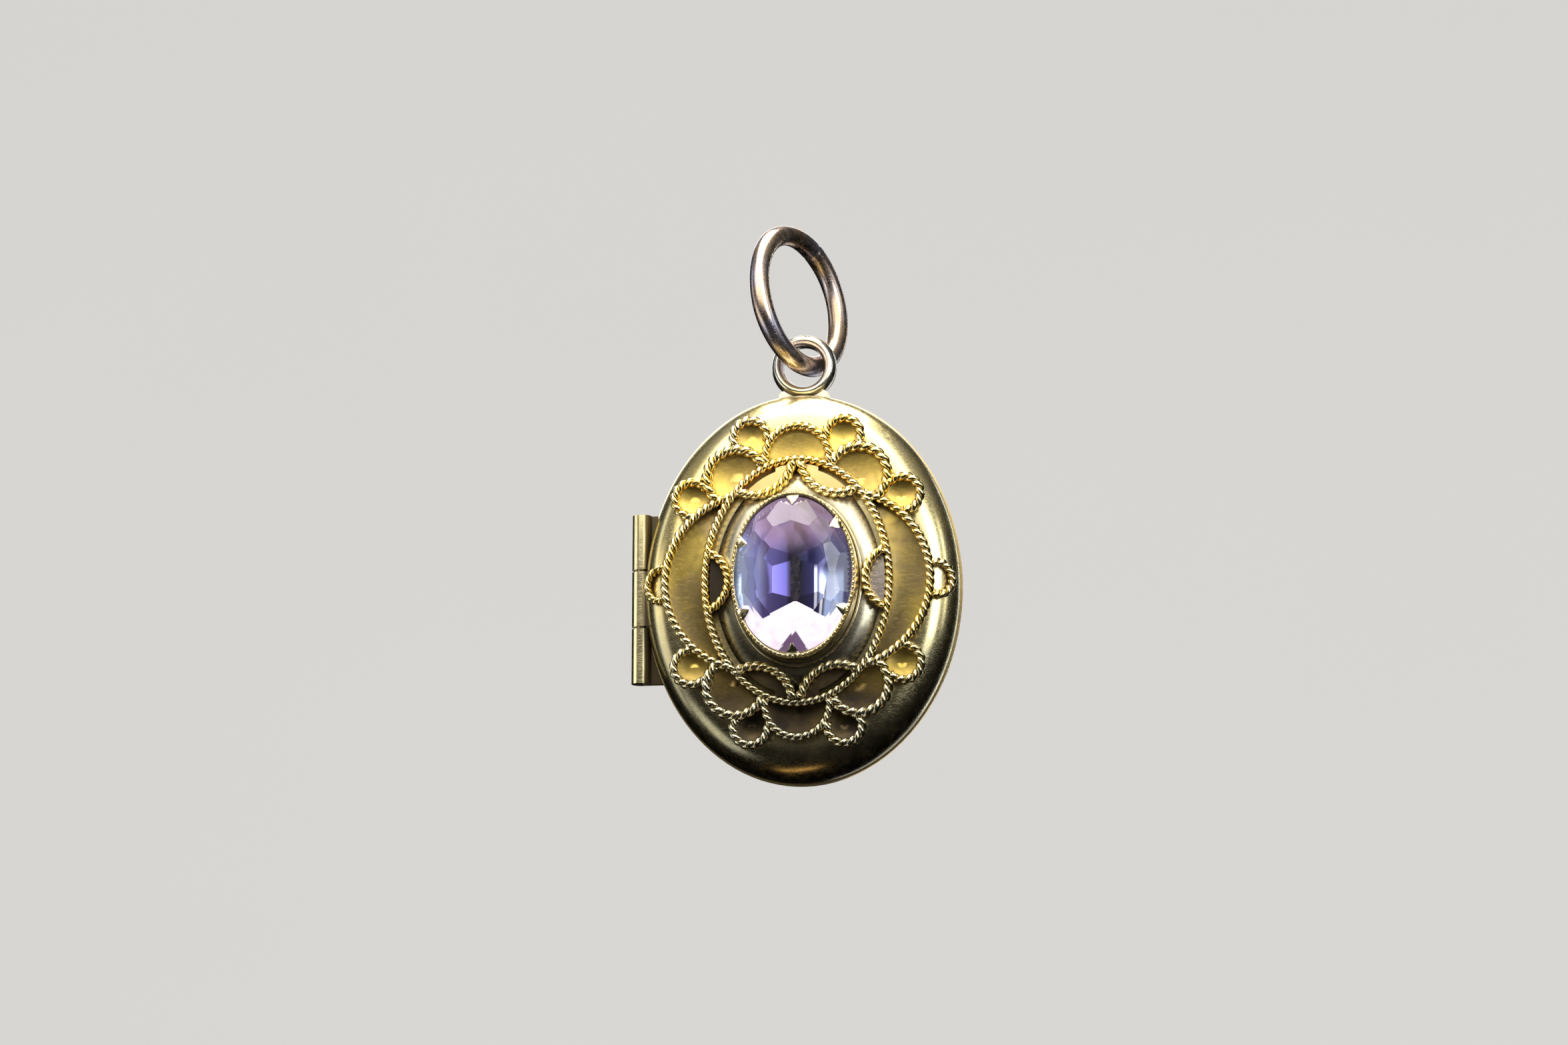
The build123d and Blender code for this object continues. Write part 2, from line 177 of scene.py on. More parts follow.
CASE_LOW, CASE_HIGH = face_box("front_cover")
BACK_LOW, BACK_HIGH = face_box("back_cover")
HALF_Y = CASE_HIGH[1]
HALF_X = BACK_HIGH[0]
FRONT_DEPTH = CASE_HIGH[2]
BACK_DEPTH = -BACK_LOW[2]
EDGE_FRONT = CASE_LOW[2]
EDGE_BACK = -BACK_HIGH[2]
SHOULDER = 1.7
SHEET = 0.45
PIN_LOW, PIN_HIGH = face_box("hinge_pin")
HINGE_X = (PIN_LOW[0] + PIN_HIGH[0]) / 2
KNUCKLE_LOW, KNUCKLE_HIGH = face_box("back_hinge_knuckles")
KNUCKLE_RADIUS = KNUCKLE_HIGH[2]
BEZEL_LOW, BEZEL_HIGH = face_box("bezel")
STONE_LOW, STONE_HIGH = face_box("oval_stone")
BOSS_LOW, BOSS_HIGH = face_box("centre_boss")

# One turn of a rope's twist, as a share of the wire's diameter, and the strands as shares of its radius.
ROPE_LAY = 0.75 / 0.46
STRAND_OFFSET = 0.47
STRAND_RADIUS = 0.54
STRAND_SIDES = 10
STEPS_PER_LAY = 14

# ---------------------------------------------------------------- meshes


def make_mesh(name, points, faces):
    """A mesh in the frame from face-frame points, with its normals outwards."""
    mesh = bpy.data.meshes.new(name)
    mesh.from_pydata([tuple(p) for p in place(points)], [], faces)
    work = bmesh.new()
    work.from_mesh(mesh)
    bmesh.ops.recalc_face_normals(work, faces=work.faces)
    work.to_mesh(mesh)
    work.free()
    return mesh


def make_piece(name, points, faces, material, body, *nodes, smooth=True):
    """A piece in the frame, riding its body and standing for its CAD nodes."""
    mesh = make_mesh(name, points, faces)
    if smooth:
        mesh.shade_smooth()
    mesh.materials.append(material)
    piece = bpy.data.objects.new(name, mesh)
    bpy.context.scene.collection.objects.link(piece)
    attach(piece, body)
    if nodes:
        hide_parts(*nodes)
    return piece


def band(here, there, sides):
    """Faces between two rings of points that start at the given indices."""
    faces = []
    for j in range(sides):
        k = (j + 1) % sides
        faces.append((here + j, here + k, there + k, there + j))
    return faces


def oval_out(x_radius, y_radius, turns):
    """Points on a flat oval, and the directions straight out of it there."""
    base = np.stack([x_radius * np.cos(turns), y_radius * np.sin(turns)], 1)
    out = np.stack([np.cos(turns) / x_radius, np.sin(turns) / y_radius], 1)
    return base, out / np.linalg.norm(out, axis=1)[:, None]


def tube(points, first, second, radii, closed, sides):
    """A tube along points; first and second span its section at each point."""
    points, radii = np.asarray(points), np.broadcast_to(radii, len(points))
    if closed:
        points, first, second, radii = points[:-1], first[:-1], second[:-1], radii[:-1]
    turns = np.linspace(0, 2 * math.pi, sides, endpoint=False)
    cos, sin = np.cos(turns)[None, :, None], np.sin(turns)[None, :, None]
    ring = cos * first[:, None, :] + sin * second[:, None, :]
    verts = (points[:, None, :] + radii[:, None, None] * ring).reshape(-1, 3)
    count = len(points)
    faces = []
    for i in range(count if closed else count - 1):
        faces += band(i * sides, (i + 1) % count * sides, sides)
    if not closed:
        faces.append(tuple(range(sides)))
        faces.append(tuple(range((count - 1) * sides, count * sides)))
    return verts, faces


def gather(parts):
    """Joins (points, faces) lists into one."""
    all_points, all_faces, start = [], [], 0
    for points, faces in parts:
        all_points.append(points)
        all_faces += [tuple(i + start for i in face) for face in faces]
        start += len(points)
    return np.concatenate(all_points), all_faces


def strand_pair(points, out, face_dir, wire, closed):
    """Two strands twisted left-handed round a line, together as thick as the wire."""
    steps = np.linalg.norm(np.diff(points, axis=0), axis=1)
    length = np.append(0, np.cumsum(steps))
    lay = ROPE_LAY * 2 * wire
    lays = length[-1] / lay
    if closed:
        lays = round(lays)
    turn = 2 * math.pi * lays * length / length[-1]
    parts = []
    for half in (0, math.pi):
        angle = (turn + half)[:, None]
        radial = np.cos(angle) * out + np.sin(angle) * face_dir
        line = points + radial * wire * STRAND_OFFSET
        along = np.gradient(line, axis=0)
        if closed:
            along[0] = along[-1] = line[1] - line[-2]
        along /= np.linalg.norm(along, axis=1)[:, None]
        radial -= (radial * along).sum(1)[:, None] * along
        radial /= np.linalg.norm(radial, axis=1)[:, None]
        across = np.cross(along, radial)
        parts.append(tube(line, radial, across, wire * STRAND_RADIUS, closed, STRAND_SIDES))
    return gather(parts)


def rope_from_arcs(name, node, material):
    parts = []
    for points in islands(node):
        arc = Arc(points)
        step = ROPE_LAY * 2 * arc.wire / STEPS_PER_LAY
        parts.append(strand_pair(*arc.line(step), arc.wire, arc.closed))
    return make_piece(name, *gather(parts), material, body_of(node), node)


def oval_rope(name, node, material):
    low, high = face_box(node)
    wire = (high[2] - low[2]) / 2
    step = ROPE_LAY * 2 * wire / STEPS_PER_LAY
    line = oval_line(high[0] - wire, high[1] - wire, (low[2] + high[2]) / 2, step)
    return make_piece(name, *strand_pair(*line, wire, True), material, body_of(node), node)


# ---------------------------------------------------------------- materials


def colour(red, green, blue):
    return (red, green, blue, 1.0)


def shade_ramp(node, shades):
    """Sets a colour ramp from (position, red-green-blue) pairs."""
    elements = node.color_ramp.elements
    while len(elements) < len(shades):
        elements.new(1.0)
    for element, (position, shade) in zip(elements, shades):
        element.position = position
        element.color = (*shade, 1.0)


class Nodes:
    """A short way to write a material's node tree, with lengths in millimetres."""

    def __init__(self, name):
        self.material = bpy.data.materials.new(name)
        self.material.use_nodes = True
        self.tree = self.material.node_tree
        self.tree.nodes.clear()
        self.output = self.add("ShaderNodeOutputMaterial")
        coordinates = self.add("ShaderNodeTexCoord")
        self.mm = self.add("ShaderNodeVectorMath", operation="SCALE")
        self.link(coordinates.outputs["Object"], self.mm.inputs[0])
        self.mm.inputs["Scale"].default_value = 1 / MM

    def add(self, kind, **settings):
        node = self.tree.nodes.new(kind)
        for key, value in settings.items():
            setattr(node, key, value)
        return node

    def link(self, source, target):
        self.tree.links.new(source, target)

    def feed(self, target, value):
        if hasattr(value, "links"):
            self.link(value, target)
        else:
            target.default_value = value

    def noise(self, per_mm, detail=4.0, stretch=None, distortion=0.0):
        vector = self.mm.outputs[0]
        if stretch:
            scaled = self.add("ShaderNodeVectorMath", operation="MULTIPLY")
            self.link(vector, scaled.inputs[0])
            scaled.inputs[1].default_value = stretch
            vector = scaled.outputs[0]
        node = self.add("ShaderNodeTexNoise")
        self.link(vector, node.inputs["Vector"])
        node.inputs["Scale"].default_value = per_mm
        node.inputs["Detail"].default_value = detail
        node.inputs["Distortion"].default_value = distortion
        return node.outputs["Fac"]

    def ramp(self, value, low, high, to_low=0.0, to_high=1.0, shape="SMOOTHSTEP"):
        node = self.add("ShaderNodeMapRange", interpolation_type=shape)
        for socket, given in zip(node.inputs, (value, low, high, to_low, to_high)):
            self.feed(socket, given)
        return node.outputs["Result"]

    def math(self, operation, first, second=0.0):
        node = self.add("ShaderNodeMath", operation=operation)
        self.feed(node.inputs[0], first)
        self.feed(node.inputs[1], second)
        return node.outputs[0]

    def mix(self, factor, first, second):
        node = self.add("ShaderNodeMix", data_type="RGBA")
        self.feed(node.inputs["Factor"], factor)
        self.feed(node.inputs["A"], first)
        self.feed(node.inputs["B"], second)
        return node.outputs["Result"]

    def crevice(self, distance):
        """1 in corners and grooves, 0 in the open."""
        node = self.add("ShaderNodeAmbientOcclusion", samples=8)
        node.inputs["Distance"].default_value = distance * MM
        return self.math("SUBTRACT", 1.0, node.outputs["AO"])

    def split(self):
        node = self.add("ShaderNodeSeparateXYZ")
        self.link(self.mm.outputs[0], node.inputs[0])
        return node

    def height(self):
        """How far up the face a point is, in millimetres."""
        return self.split().outputs["Z"]

    def across(self):
        """How far right of the middle a point is, in millimetres."""
        return self.split().outputs["X"]

    def bump(self, value, strength, distance):
        node = self.add("ShaderNodeBump")
        node.inputs["Strength"].default_value = strength
        node.inputs["Distance"].default_value = distance * MM
        self.feed(node.inputs["Height"], value)
        return node.outputs["Normal"]

    def surface(self, **inputs):
        shader = self.add("ShaderNodeBsdfPrincipled")
        for key, value in inputs.items():
            self.feed(shader.inputs[key.replace("_", " ")], value)
        self.link(shader.outputs[0], self.output.inputs["Surface"])
        return self.material


def old_gold(name, bright, deep, tarnish_and_shade, roughness,
             dirt_and_shade=0.85, reach=0.35, mottling=0.07, film_and_shade=None, shade=None):
    """Worn gold: two tones in soft blotches, dark oxide and painted shade in the grooves, fine rubbed
    scratches.

    dirt_and_shade is how dark the grooves go, reach (mm) how wide they are and mottling how spotted the
    open
    metal is. film_and_shade is (colour, amount, height where it starts, height where it is full): the dull
    layer over the lower part of the face, partly oxide and partly painted shade. shade is (amount, x where
    it starts, x where it is full), a painted shade that darkens the metal sideways, where it lies in
    shadow.
    """
    n = Nodes(name)
    blotch = n.ramp(n.noise(0.45, 5.0), 0.36, 0.64)
    mottle = n.ramp(n.noise(2.2, 7.0, distortion=0.25), 0.36, 0.80)
    grain = n.noise(26.0, 3.0)
    scratches = n.ramp(n.noise(9.0, 2.0, stretch=(0.35, 1.0, 6.0)), 0.56, 0.66)
    metal = n.mix(blotch, bright, deep)
    # A dull dark layer over the lower part of the face: partly oxide, partly painted shade.
    if film_and_shade:
        film_and_shade_colour, amount, starts, full = film_and_shade
        lower = n.math("MULTIPLY", n.ramp(n.height(), starts, full), amount)
        cover = n.math("MULTIPLY", lower, n.ramp(n.noise(0.5, 3.0), 0.2, 0.7, 0.85, 1.0))
        metal = n.mix(cover, metal, film_and_shade_colour)
    # Ambient occlusion darkens grooves and corners: partly oxide in the hollows, partly painted shade.
    groove_patina_and_shade = n.ramp(n.crevice(reach), 0.20, 0.75)
    patina_and_shade = n.math("MAXIMUM", n.math("MULTIPLY", groove_patina_and_shade, dirt_and_shade), n.math("MULTIPLY", mottle, mottling))
    # Painted shade: metal that lies in shadow to one side is darkened.
    if shade:
        amount, starts, full = shade
        sideways = n.math("MULTIPLY", n.ramp(n.across(), starts, full), amount)
        patina_and_shade = n.math("MAXIMUM", patina_and_shade, sideways)
    rough = n.math("ADD", roughness, n.math("MULTIPLY", mottle, 0.02))
    rough = n.math("ADD", rough, n.math("MULTIPLY", patina_and_shade, 0.16))
    rough = n.math("ADD", rough, n.math("MULTIPLY", scratches, 0.06))
    relief = n.math("SUBTRACT", n.math("MULTIPLY", grain, 0.35), n.math("MULTIPLY", scratches, 0.5))
    return n.surface(
        Base_Color=n.mix(patina_and_shade, metal, tarnish_and_shade),
        Metallic=n.math("SUBTRACT", 1.0, n.math("MULTIPLY", patina_and_shade, 0.25)),
        Roughness=rough,
        Normal=n.bump(relief, 0.30, 0.006),
    )


def crown_glass(name):
    """The stone's polished upper facets: clear, faintly violet, with a little rubbed wear."""
    n = Nodes(name)
    drift = n.ramp(n.noise(0.5, 2.0), 0.3, 0.7)
    tint = n.mix(drift, colour(0.90, 0.84, 1.0), colour(0.84, 0.86, 1.0))
    wear = n.ramp(n.noise(7.0, 3.0, stretch=(1.0, 1.0, 3.0)), 0.62, 0.74)
    return n.surface(
        Base_Color=tint,
        Roughness=n.math("MULTIPLY", wear, 0.08),
        IOR=1.54,
        Specular_IOR_Level=0.3,
        Transmission_Weight=1.0,
        Normal=n.bump(wear, 0.04, 0.002),
    )


def painted_pavilion_foil(name):
    """The stone's lower facets over their metal backing, coloured with painted reflections: grey-blue,
    violet, near black, blue.

    The backing also glows faintly in that painted colour, a painted light, though it is no lamp.
    """
    n = Nodes(name)
    # Painted reflections: colour stripes from left to right across the stone, where the facets mirror the
    # room.
    painted_reflection_bands = n.add("ShaderNodeValToRGB")
    shade_ramp(painted_reflection_bands, (
        (0.0, (0.10, 0.10, 0.14)), (0.07, (0.40, 0.50, 0.55)), (0.20, (0.42, 0.44, 0.74)),
        (0.27, (0.13, 0.11, 0.26)), (0.42, (0.07, 0.06, 0.17)), (0.45, (0.02, 0.015, 0.03)),
        (0.56, (0.02, 0.02, 0.04)), (0.66, (0.035, 0.03, 0.10)), (0.74, (0.11, 0.11, 0.22)),
        (0.90, (0.13, 0.13, 0.24)), (1.0, (0.16, 0.12, 0.16))))
    n.link(n.ramp(n.across(), -3.0, 3.0, shape="LINEAR"), painted_reflection_bands.inputs[0])
    # A painted light-blue glint and a painted white highlight right of the middle.
    painted_blue_glint = n.math("MULTIPLY", n.ramp(n.across(), 1.15, 1.35), n.ramp(n.across(), 2.3, 2.05))
    painted_blue_glint = n.math("MULTIPLY", painted_blue_glint, n.ramp(n.height(), 0.6, -0.2))
    painted_white_streak = n.math("MULTIPLY", n.ramp(n.across(), 0.95, 1.03), n.ramp(n.across(), 1.18, 1.10))
    painted_white_streak = n.math("MULTIPLY", painted_white_streak, n.ramp(n.height(), 0.7, 0.3))
    painted_reflections = n.mix(painted_blue_glint, painted_reflection_bands.outputs["Color"], colour(0.60, 0.72, 1.0))
    painted_reflections = n.mix(painted_white_streak, painted_reflections, colour(0.95, 0.95, 1.0))
    # The upper part is painted rosier.
    painted_rosy_top = n.math("MULTIPLY", n.ramp(n.height(), 1.0, 2.6), 0.85)
    tint = n.mix(painted_rosy_top, painted_reflections, colour(0.24, 0.17, 0.24))
    # The emission is painted light: the facets glow though they are no lamp.
    return n.surface(
        Base_Color=tint, Metallic=1.0, Roughness=0.10, Emission_Color=tint, Emission_Strength=0.5)


NOTCH_TIP = -2.5
NOTCH_SPREAD = 0.6


def glowing_frosted_foil(name):
    """The lowest facets, where the overhead light comes back out: nearly white round a dusky notch, and
    glowing in that colour, a painted light, though they are no lamp.
    """
    n = Nodes(name)
    drift = n.ramp(n.noise(1.6, 4.0), 0.46, 0.66)
    tint = n.mix(drift, colour(1.0, 0.99, 0.93), colour(0.92, 0.80, 0.80))
    sideways = n.math("ABSOLUTE", n.across())
    below = n.math("MULTIPLY", n.math("SUBTRACT", NOTCH_TIP, n.height()), NOTCH_SPREAD)
    notch = n.ramp(n.math("SUBTRACT", below, sideways), 0.0, 0.08)
    tint = n.mix(notch, tint, colour(0.16, 0.10, 0.16))
    # The emission is painted light: the facets glow though they are no lamp.
    return n.surface(
        Base_Color=tint, Metallic=1.0, Roughness=0.35, Emission_Color=tint, Emission_Strength=0.85)


def painted_dark_keel(name):
    """The narrow flat at the bottom of the stone, painted nearly black: a painted shade standing for the
    dark collet seen through it.
    """
    n = Nodes(name)
    smear = n.ramp(n.noise(4.0, 3.0), 0.4, 0.7)
    return n.surface(
        Base_Color=n.mix(smear, colour(0.012, 0.010, 0.012), colour(0.05, 0.04, 0.06)), Roughness=0.25)


PANE_MIRROR = 0.04  # the share of light that a pane throws back face on


def window_glass(name):
    """A thin pane, alike from both sides: clear face on, a mirror at a glance, a little smeared."""
    n = Nodes(name)
    smear = n.ramp(n.noise(1.3, 3.0), 0.45, 0.75)
    facing = n.add("ShaderNodeLayerWeight").outputs["Facing"]
    edge_on = n.math("POWER", facing, 5.0)
    glance = n.math("ADD", n.math("MULTIPLY", edge_on, 1 - PANE_MIRROR), PANE_MIRROR)
    cover = n.math("ADD", glance, n.math("MULTIPLY", smear, 0.05))
    return n.surface(
        Base_Color=colour(0.95, 0.97, 0.94),
        Metallic=1.0,
        Roughness=n.math("ADD", 0.03, n.math("MULTIPLY", smear, 0.12)),
        Alpha=cover,
        Normal=n.bump(n.noise(0.6, 2.0), 0.1, 0.02),
    )


def old_card(name):
    """Aged card: cream with soft brown stains and a fibre."""
    n = Nodes(name)
    fibre = n.noise(14.0, 5.0, stretch=(1.0, 1.0, 0.3))
    stain = n.ramp(n.noise(0.5, 5.0), 0.42, 0.7)
    base = n.mix(n.math("MULTIPLY", stain, 0.6), colour(0.78, 0.70, 0.54), colour(0.52, 0.40, 0.24))
    return n.surface(
        Base_Color=base,
        Roughness=n.ramp(fibre, 0.0, 1.0, 0.75, 0.95),
        Normal=n.bump(fibre, 0.4, 0.02),
    )


# Colours of the dull layer over the lower part of the face: partly oxide, partly painted shade.
OLIVE_FILM_AND_SHADE = colour(0.34, 0.30, 0.19)
DARK_FILM_AND_SHADE = colour(0.13, 0.11, 0.075)
SILVER_FILM_AND_SHADE = colour(0.52, 0.50, 0.38)
BLACK_FILM_AND_SHADE = colour(0.035, 0.028, 0.028)

FRONT_GOLD = old_gold(
    "case_front_gold", colour(0.96, 0.79, 0.36), colour(0.86, 0.74, 0.42),
    colour(0.15, 0.105, 0.035), 0.22, reach=0.5, film_and_shade=(OLIVE_FILM_AND_SHADE, 0.95, 4.5, -8.5))
BACK_GOLD = old_gold(
    "case_back_gold", colour(0.95, 0.77, 0.36), colour(0.84, 0.70, 0.40), colour(0.20, 0.14, 0.06), 0.24,
    reach=0.5)
ROPE_GOLD = old_gold(
    "rope_gold", colour(1.0, 0.76, 0.24), colour(0.95, 0.80, 0.44), colour(0.09, 0.045, 0.012), 0.16,
    dirt_and_shade=1.0, reach=0.12, film_and_shade=(SILVER_FILM_AND_SHADE, 0.85, 0.0, -7.0))
TRAY_GOLD = old_gold(
    "tray_gold", colour(1.0, 0.72, 0.17), colour(0.80, 0.56, 0.16), colour(0.06, 0.035, 0.015), 0.28,
    dirt_and_shade=0.95, reach=0.40, mottling=0.30, film_and_shade=(BLACK_FILM_AND_SHADE, 0.99, -3.5, -6.2))
CRESCENT_GOLD = old_gold(
    "crescent_gold", colour(0.60, 0.44, 0.11), colour(0.42, 0.31, 0.13), colour(0.05, 0.03, 0.015), 0.28,
    dirt_and_shade=1.0, reach=0.45, mottling=0.5)
LEAF_GOLD = old_gold(
    "leaf_gold", colour(1.0, 0.72, 0.32), colour(1.0, 0.62, 0.24), colour(0.06, 0.03, 0.01), 0.28,
    dirt_and_shade=1.0, reach=0.25, film_and_shade=(BLACK_FILM_AND_SHADE, 0.99, 2.0, -3.5))
# The side petals' shade entry paints shade on the left petal, darker towards the left.
PETAL_GOLD = old_gold(
    "petal_gold", colour(0.70, 0.62, 0.52), colour(0.60, 0.50, 0.50), colour(0.03, 0.02, 0.01), 0.26,
    dirt_and_shade=1.0, reach=0.3, shade=(0.97, 1.0, -1.0))
# The strip down in the groove round the boss is coloured nearly black: painted shade.
GROOVE_SHADE_GOLD = old_gold(
    "groove_shade_gold", colour(0.16, 0.11, 0.04), colour(0.10, 0.07, 0.03), colour(0.015, 0.010, 0.008), 0.45,
    dirt_and_shade=1.0, reach=0.9, film_and_shade=(BLACK_FILM_AND_SHADE, 0.95, 2.0, -4.0))
BOSS_GOLD = old_gold(
    "boss_gold", colour(0.86, 0.80, 0.56), colour(0.66, 0.60, 0.46), colour(0.06, 0.05, 0.035), 0.26,
    dirt_and_shade=1.0, reach=0.32, mottling=0.30, film_and_shade=(DARK_FILM_AND_SHADE, 0.98, 0.5, -4.5))
BEZEL_GOLD = old_gold(
    "bezel_gold", colour(0.96, 0.82, 0.50), colour(0.84, 0.72, 0.48), colour(0.08, 0.055, 0.03), 0.18,
    reach=0.25, film_and_shade=(OLIVE_FILM_AND_SHADE, 0.7, -1.0, -5.0))
# The hinge's shade entry paints shade on the leaf between the knuckle and the case.
HINGE_GOLD = old_gold(
    "hinge_gold", colour(1.0, 0.88, 0.50), colour(0.95, 0.82, 0.50), colour(0.07, 0.05, 0.025), 0.18,
    reach=0.15, mottling=0.1, shade=(0.97, HINGE_X + 0.05, HINGE_X + 0.30))
BAIL_GOLD = old_gold(
    "bail_gold", colour(0.76, 0.66, 0.42), colour(0.62, 0.60, 0.56), colour(0.13, 0.10, 0.05), 0.18,
    mottling=0.2)
RING_ROSE = old_gold(
    "ring_rose", colour(0.66, 0.48, 0.33), colour(0.48, 0.44, 0.52), colour(0.15, 0.09, 0.06), 0.24,
    mottling=0.2)
RIM_GOLD = old_gold(
    "rim_gold", colour(0.92, 0.72, 0.34), colour(0.82, 0.63, 0.32), colour(0.16, 0.10, 0.04), 0.24)
CROWN = crown_glass("stone_crown")
PAVILION_PAINTED = painted_pavilion_foil("stone_pavilion_painted")
PAVILION_LOW_GLOWING = glowing_frosted_foil("stone_pavilion_low_glowing")
KEEL_PAINTED_DARK = painted_dark_keel("stone_keel_painted_dark")
GLAZING = window_glass("glazing")
CARD = old_card("card")

# ---------------------------------------------------------------- case shells


SHOULDER_STEPS = 12
EDGE_ROUND = 0.03
CASE_AROUND = 288
CASE_WAVE = 0.02  # height of the unevenness that wear leaves
CASE_WAVE_PER_MM = 0.45
SEAT_SIDES = 48
SEAT_CLEARANCE = 0.07
SEAT_OVERRUN = 0.1


def quarter_round(radius, step):
    """How far in from the side and how far down from the top a rounded shoulder is."""
    turn = math.pi / 2 * step / SHOULDER_STEPS
    return radius * (1 - math.sin(turn)), radius * (1 - math.cos(turn))


def shell_profile(depth, edge):
    """(inset, height) pairs: over the shoulder to the edge, and back up inside."""
    outer, inner = [], [(SHEET - EDGE_ROUND, edge), (SHEET, edge + EDGE_ROUND)]
    for step in range(SHOULDER_STEPS + 1):
        inset, drop = quarter_round(SHOULDER, step)
        outer.append((inset, depth - drop))
    outer.append((0.0, edge + EDGE_ROUND))
    outer.append((EDGE_ROUND, edge))
    for step in range(SHOULDER_STEPS, -1, -1):
        inset, drop = quarter_round(SHOULDER - SHEET, step)
        inner.append((SHEET + inset, depth - SHEET - drop))
    return outer, inner


def case_shell(depth, edge, way):
    """A shell mesh: way is 1 for the front half and -1 for the back."""
    outer, inner = shell_profile(depth, edge)
    around = CASE_AROUND
    base, out = oval_out(HALF_X, HALF_Y, np.linspace(0, 2 * math.pi, around, endpoint=False))
    rings = []
    plateau = base - SHOULDER * out
    shares = np.linspace(0.08, 1, 12)[:-1]
    for share in shares:
        rings.append(np.column_stack([plateau * share, np.full(around, depth)]))
    for inset, height in outer:
        rings.append(np.column_stack([base - inset * out, np.full(around, height)]))
    waved = len(rings) - 3
    for inset, height in inner:
        rings.append(np.column_stack([base - inset * out, np.full(around, height)]))
    for share in shares[::-1]:
        rings.append(np.column_stack([plateau * share, np.full(around, depth - SHEET)]))
    points = np.concatenate(rings)
    faces = []
    for i in range(len(rings) - 1):
        faces += band(i * around, (i + 1) * around, around)
    last = (len(rings) - 1) * around
    faces.append(tuple(range(around)))
    faces.append(tuple(range(last, last + around)))
    for index in range(waved * around):
        wave = noise.noise(Vector(points[index]) * CASE_WAVE_PER_MM + Vector((7.0 * way, 3.0, 1.0)))
        points[index][2] += CASE_WAVE * wave
    points[:, 2] *= way
    return points, faces


def cut_cylinder(piece, radius, low, high):
    """Cuts the hinge's round seat out of a piece."""
    turns = np.linspace(0, 2 * math.pi, SEAT_SIDES, endpoint=False)
    ring = np.stack([HINGE_X + radius * np.cos(turns), 0 * turns, radius * np.sin(turns)], 1)
    points = np.concatenate([ring + [0, low, 0], ring + [0, high, 0]])
    faces = band(0, SEAT_SIDES, SEAT_SIDES)
    faces += [tuple(range(SEAT_SIDES)), tuple(range(SEAT_SIDES, 2 * SEAT_SIDES))]
    cutter = bpy.data.objects.new("cutter", make_mesh("cutter", points, faces))
    bpy.context.scene.collection.objects.link(cutter)
    cut = piece.modifiers.new("hinge_seat", "BOOLEAN")
    cut.operation = "DIFFERENCE"
    cut.solver = "EXACT"
    cut.object = cutter
    graph = bpy.context.evaluated_depsgraph_get()
    result = bpy.data.meshes.new_from_object(piece.evaluated_get(graph))
    piece.modifiers.clear()
    piece.data = result
    bpy.data.objects.remove(cutter)


def smooth_by_angle(piece, degrees):
    """Smooth shading, apart from edges sharper than the angle."""
    chosen = {"object": piece, "active_object": piece, "selected_editable_objects": [piece]}
    with bpy.context.temp_override(**chosen):
        bpy.ops.object.shade_smooth_by_angle(angle=math.radians(degrees))


def build_case():
    seat = KNUCKLE_RADIUS + SEAT_CLEARANCE
    for name, node, depth, edge, way, gold in (
        ("front_case_shell", "front_cover", FRONT_DEPTH, EDGE_FRONT, 1, FRONT_GOLD),
        ("back_case_shell", "back_cover", BACK_DEPTH, EDGE_BACK, -1, BACK_GOLD),
    ):
        shell = make_piece(name, *case_shell(depth, edge, way), gold, body_of(node), node)
        cut_cylinder(shell, seat, KNUCKLE_LOW[1] - SEAT_OVERRUN, KNUCKLE_HIGH[1] + SEAT_OVERRUN)
        smooth_by_angle(shell, 35)


# ---------------------------------------------------------------- boss, bezel and stone


def oval_sweep(x_radius, y_radius, profile, around):
    """Sweeps a closed loop of (offset, height) pairs round an oval."""
    base, out = oval_out(x_radius, y_radius, np.linspace(0, 2 * math.pi, around, endpoint=False))
    rings = [np.column_stack([base + offset * out, np.full(around, height)]) for offset, height in profile]
    faces = []
    for i in range(len(rings)):
        faces += band(i * around, (i + 1) % len(rings) * around, around)
    return np.concatenate(rings), faces


BROW_WIDTH = 0.98
BROW_STEPS = 8


def build_boss():
    """A low oval dome with a rounded brow and a flat collar that carries the bezel."""
    base_x, base_y = BOSS_HIGH[0], BOSS_HIGH[1]
    low, high = BOSS_LOW[2], BOSS_HIGH[2]
    rise = high - low
    collar = BEZEL_HIGH[0] - 0.3 - base_x
    profile = [(0.0, low)]
    for step in range(BROW_STEPS + 1):
        share = step / BROW_STEPS
        turn = math.pi / 2 * (0.10 + 0.90 * share)
        profile.append((-BROW_WIDTH * share, low + rise * math.sin(turn)))
    profile += [(collar, high), (collar, high - 0.12), (-BROW_WIDTH, high - 0.14), (-0.32, low)]
    sweep = oval_sweep(base_x, base_y, profile, 160)
    piece = make_piece("boss_dome", *sweep, BOSS_GOLD, body_of("centre_boss"), "centre_boss")
    smooth_by_angle(piece, 40)


# The CAD stone is a polygon inside its oval; this brings the cut stone out to the oval.
STONE_FULLNESS = 1.012
STONE_X = STONE_HIGH[0] * STONE_FULLNESS
STONE_Y = STONE_HIGH[1] * STONE_FULLNESS
CROWN_HEIGHT = 0.8
GIRDLE_THICK = 0.12
GIRDLE_HIGH = STONE_HIGH[2] - CROWN_HEIGHT
GIRDLE_LOW = GIRDLE_HIGH - GIRDLE_THICK
LIP_TOP = GIRDLE_HIGH + 0.17

CLAW_ANGLES = (90, 40, -28, -90, -150, 155)
CLAW_FOOT = 0.12
CLAW_REACH = 0.45
CLAW_WIDTH = 0.72
CLAW_TIP = 0.015
CLAW_SLOPE = 0.62
CLAW_CROWN = 0.07
CLAW_THICK = 0.13
BEAD_PITCH = 0.25
BEAD_RADIUS = 0.098
BEAD_VARIATION = 0.15
SEAT_WIDTH = 0.22

